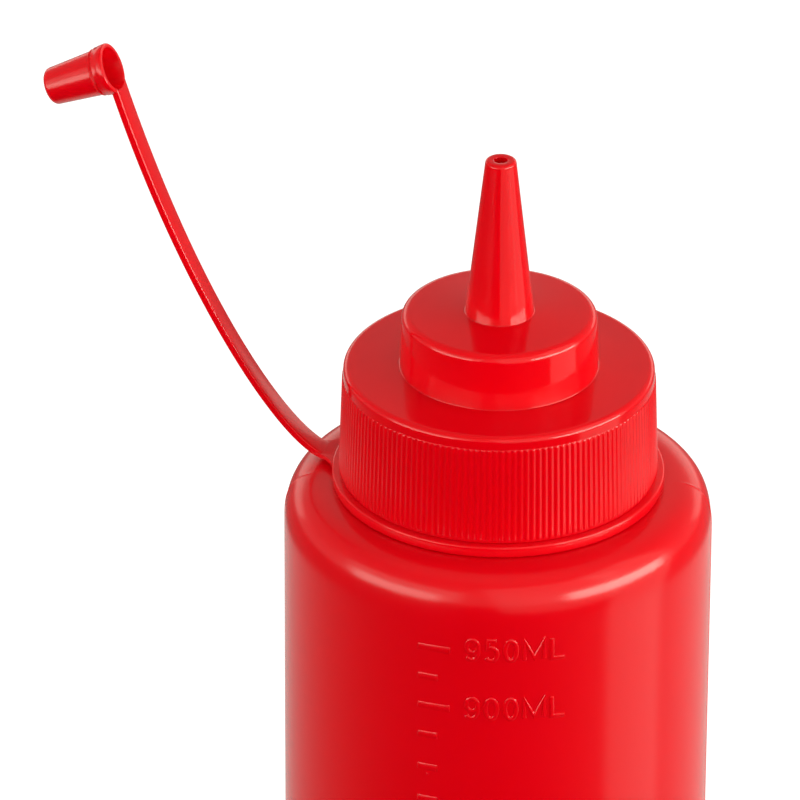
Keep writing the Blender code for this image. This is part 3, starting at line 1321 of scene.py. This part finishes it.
@dataclass
class Studio:
    """A pale floor, soft boxes, and a room that darkens upwards over a table lit from behind.

    Attributes:
        target_height: height that the soft boxes face, in millimetres.
        floor_half_width: half the floor's width, in metres.
        floor_gap: how far it lies under the bottle's base.
        floor_colour: the floor's own colour.
        floor_roughness: its roughness.
        floor_glow: how much it shines by itself, so that it stays pale.
        room: brightness of the room at the horizon and straight above.
        room_colour: warm white of room and table, linear.
        bounce: brightness of the lit table behind the bottle.
        bounce_turn: where that table is brightest, in degrees from +X.
        bounce_ramp: cosines from that turn between which it fades in.
        table_end: heights of the directions between which the lit table ends.
        table_shade: brightness of the table beyond that, against the lit part.
        horizon: height of the direction where room and table meet.
        boxes: the soft boxes.
    """

    target_height: float
    floor_half_width: float = 4.0
    floor_gap: float = 0.1
    floor_colour: Colour = (0.35, 0.35, 0.35)
    floor_roughness: float = 0.9
    floor_glow: float = 0.85
    room: Point2 = (0.42, 0.17)
    room_colour: Colour = (1.0, 1.0, 0.92)
    bounce: float = 0.76
    bounce_turn: float = 88.0
    bounce_ramp: Point2 = (-1.12, 1.6)
    table_end: Point2 = (-0.48, -0.43)
    table_shade: float = 0.3
    horizon: Point2 = (-0.12, 0.0)
    boxes: tuple[SoftBox, ...] = (
        SoftBox("right_key", -12.0, 5.5, (28.0, 9.0), 7.0),
        SoftBox("left_key", -131.0, 5.0, (24.0, 9.0), 2.7),
        SoftBox("top_fill", 60.0, 82.0, (30.0, 30.0), 1.0, mirrored=False),
        SoftBox("back_card", 104.0, 11.0, (50.0, 10.0), 0.8),
        SoftBox("right_box", 2.6, 10.0, (20.4, 45.3), 0.70),
        SoftBox("left_box", -128.6, 15.0, (31.7, 16.0), 0.75),
        SoftBox("left_fill", -138.0, 5.0, (40.0, 25.0), 0.8, mirrored=False),
        SoftBox("front_box", -44.0, 17.4, (34.0, 34.0), 0.5),
    )

    def floor(self) -> Piece:
        """Makes the plain floor, which is seen but neither mirrored nor in the lights' way.

        Returns:
            The floor.
        """
        half = self.floor_half_width / MM
        corners = ((-half, -half), (half, -half), (half, half), (-half, half))
        shell = Shell()
        shell.faces.append(tuple(shell.row(Vector((x, y, -self.floor_gap)) for x, y in corners)))
        piece = shell.to_object("studio_floor")
        sketch = MaterialSketch("floor_white")
        sketch.shader.inputs["Base Color"].default_value = (*self.floor_colour, 1.0)
        sketch.shader.inputs["Roughness"].default_value = self.floor_roughness
        sketch.shader.inputs["Emission Color"].default_value = WHITE
        sketch.shader.inputs["Emission Strength"].default_value = self.floor_glow
        piece.data.materials.append(sketch.material)
        piece.visible_glossy = False
        piece.visible_diffuse = False
        piece.visible_shadow = False
        return piece

    def table(self, sketch: NodeSketch, direction: Socket, height: Socket) -> Socket:
        """Lays out the brightness of the lit table behind the bottle.

        Args:
            sketch: the surrounding's nodes.
            direction: the direction that is looked at.
            height: the height of that direction.

        Returns:
            The brightness.
        """
        level = sketch.node("ShaderNodeVectorMath", operation="MULTIPLY")
        level.inputs[1].default_value = (1.0, 1.0, 0.0)
        sketch.link(direction, level.inputs[0])
        heading = sketch.node("ShaderNodeVectorMath", operation="NORMALIZE")
        sketch.link(level.outputs["Vector"], heading.inputs[0])
        facing = sketch.node("ShaderNodeVectorMath", operation="DOT_PRODUCT")
        facing.inputs[1].default_value = polar(1.0, math.radians(self.bounce_turn), 0.0)
        sketch.link(heading.outputs["Vector"], facing.inputs[0])
        lit = sketch.ramp(facing.outputs["Value"], self.bounce_ramp, (0.0, self.bounce))
        reach = sketch.node("ShaderNodeMath", operation="MULTIPLY")
        sketch.link(lit, reach.inputs[0])
        sketch.link(sketch.ramp(height, self.table_end, (1.0, self.table_shade)), reach.inputs[1])
        return reach.outputs["Value"]

    def world(self) -> None:
        """Lays out the surrounding: plain white to look at, a lit room for the light it gives."""
        world = bpy.data.worlds.new("studio")
        world.use_nodes = True
        sketch = NodeSketch(world.node_tree)
        white = sketch.tree.nodes["Background"]
        white.inputs["Color"].default_value = WHITE
        direction = sketch.node("ShaderNodeTexCoord").outputs["Generated"]
        parts = sketch.node("ShaderNodeSeparateXYZ")
        sketch.link(direction, parts.inputs["Vector"])
        height = parts.outputs["Z"]
        meeting = sketch.node("ShaderNodeMix")
        sketch.link(sketch.ramp(height, self.horizon, (0.0, 1.0)), meeting.inputs["Factor"])
        sketch.link(self.table(sketch, direction, height), meeting.inputs["A"])
        sketch.link(sketch.ramp(height, (0.0, 1.0), self.room), meeting.inputs["B"])
        lit = sketch.node("ShaderNodeBackground")
        lit.inputs["Color"].default_value = (*self.room_colour, 1.0)
        sketch.link(meeting.outputs["Result"], lit.inputs["Strength"])
        choice = sketch.node("ShaderNodeMixShader")
        seen = sketch.node("ShaderNodeLightPath").outputs["Is Camera Ray"]
        sketch.link(seen, choice.inputs["Fac"])
        sketch.link(lit.outputs["Background"], choice.inputs[1])
        sketch.link(white.outputs["Background"], choice.inputs[2])
        sketch.link(choice.outputs["Shader"], sketch.tree.nodes["World Output"].inputs["Surface"])
        bpy.context.scene.world = world

    def build(self) -> None:
        """Makes floor, surrounding and lights."""
        self.floor()
        self.world()
        target = Vector((0.0, 0.0, self.target_height * MM))
        for box in self.boxes:
            box.build(target)
        bpy.context.scene.view_settings.view_transform = "Standard"


@dataclass(frozen=True)
class StudioCamera:
    """The camera, placed from where one known point of the bottle falls in the picture.

    Attributes:
        anchor_height: height of that point on the bottle's axis.
        azimuth: how far the camera stands round from -Y towards +X, in degrees.
        elevation: how steeply it looks down, in degrees.
        roll: its turn about its own line of sight, in degrees.
        distance: distance to the anchor along the line of sight.
        scale: picture points for one millimetre at the anchor.
        picture_size: width and height of the picture, in picture points.
        anchor_place: where the anchor falls in the picture.
        film_width: width of the film.
        clip: nearest and farthest distance that it sees, in metres.
    """

    anchor_height: float
    azimuth: float = 14.0
    elevation: float = 28.516
    roll: float = 0.143
    distance: float = 1469.45
    scale: float = 5.6306
    picture_size: float = 800.0
    anchor_place: Point2 = (498.1, 474.15)
    film_width: float = 36.0
    clip: Point2 = (0.05, 20.0)

    def build(self) -> Piece:
        """Makes the camera and gives it to the scene.

        Returns:
            The camera.
        """
        turn, lift, roll = (math.radians(x) for x in (self.azimuth, self.elevation, self.roll))
        right = polar(1.0, turn, 0.0)
        level_back = math.cos(lift)
        back = Vector((math.sin(turn) * level_back, -math.cos(turn) * level_back, math.sin(lift)))
        up = back.cross(right)
        across = self.anchor_place[0] - self.picture_size / 2.0
        above = self.picture_size / 2.0 - self.anchor_place[1]
        level_across = (across * math.cos(roll) - above * math.sin(roll)) / self.scale
        level_above = (across * math.sin(roll) + above * math.cos(roll)) / self.scale
        anchor = Vector((0.0, 0.0, self.anchor_height))
        place = anchor - level_across * right - level_above * up + self.distance * back
        side = math.cos(roll) * right + math.sin(roll) * up
        head = math.cos(roll) * up - math.sin(roll) * right
        turned = Matrix((side, head, back)).transposed()
        data = bpy.data.cameras.new("studio_camera")
        data.sensor_width = self.film_width
        data.lens = self.scale * self.distance * self.film_width / self.picture_size
        data.clip_start, data.clip_end = self.clip
        camera = put_in_scene("studio_camera", data)
        camera.matrix_world = Matrix.Translation(place * MM) @ turned.to_4x4()
        bpy.context.scene.camera = camera
        return camera


BLOWN_RED = PlasticFinish(
    slot="bottle_plastic",
    process=MouldProcess.BLOWN,
    colour=(0.77, 0.0, 0.006),
    deep_colour=(0.76, 0.0, 0.0055),
    roughness=(0.175, 0.19),
)
MOULDED_RED = PlasticFinish(
    slot="cap_plastic",
    process=MouldProcess.INJECTED,
    colour=(0.80, 0.0, 0.0055),
    deep_colour=(0.78, 0.0, 0.005),
    roughness=(0.10, 0.12),
    grain_size=0.3,
    grain_depth=0.0003,
)
SOFT_RED = PlasticFinish(
    slot="tether_plastic",
    process=MouldProcess.SOFT,
    colour=(0.79, 0.0, 0.006),
    deep_colour=(0.78, 0.0, 0.0055),
    roughness=(0.16, 0.18),
    grain_size=0.35,
    grain_depth=0.0004,
)


def main() -> None:
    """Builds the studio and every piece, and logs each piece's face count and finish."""
    logging.basicConfig(level=logging.INFO, format="%(name)s: %(message)s")
    sizes = FrameSizes.read()
    StudioCamera(anchor_height=sizes.ring_level).build()
    Studio(target_height=sizes.ring_level).build()
    for part in (Bottle(sizes, BLOWN_RED), ScrewCap(sizes, MOULDED_RED), Tether(sizes, SOFT_RED)):
        piece = part.build()
        faces = len(piece.data.polygons)
        log.info("%s: %d faces, finish %s", piece.name, faces, part.finish.slot)


if __name__ == "__main__":
    main()
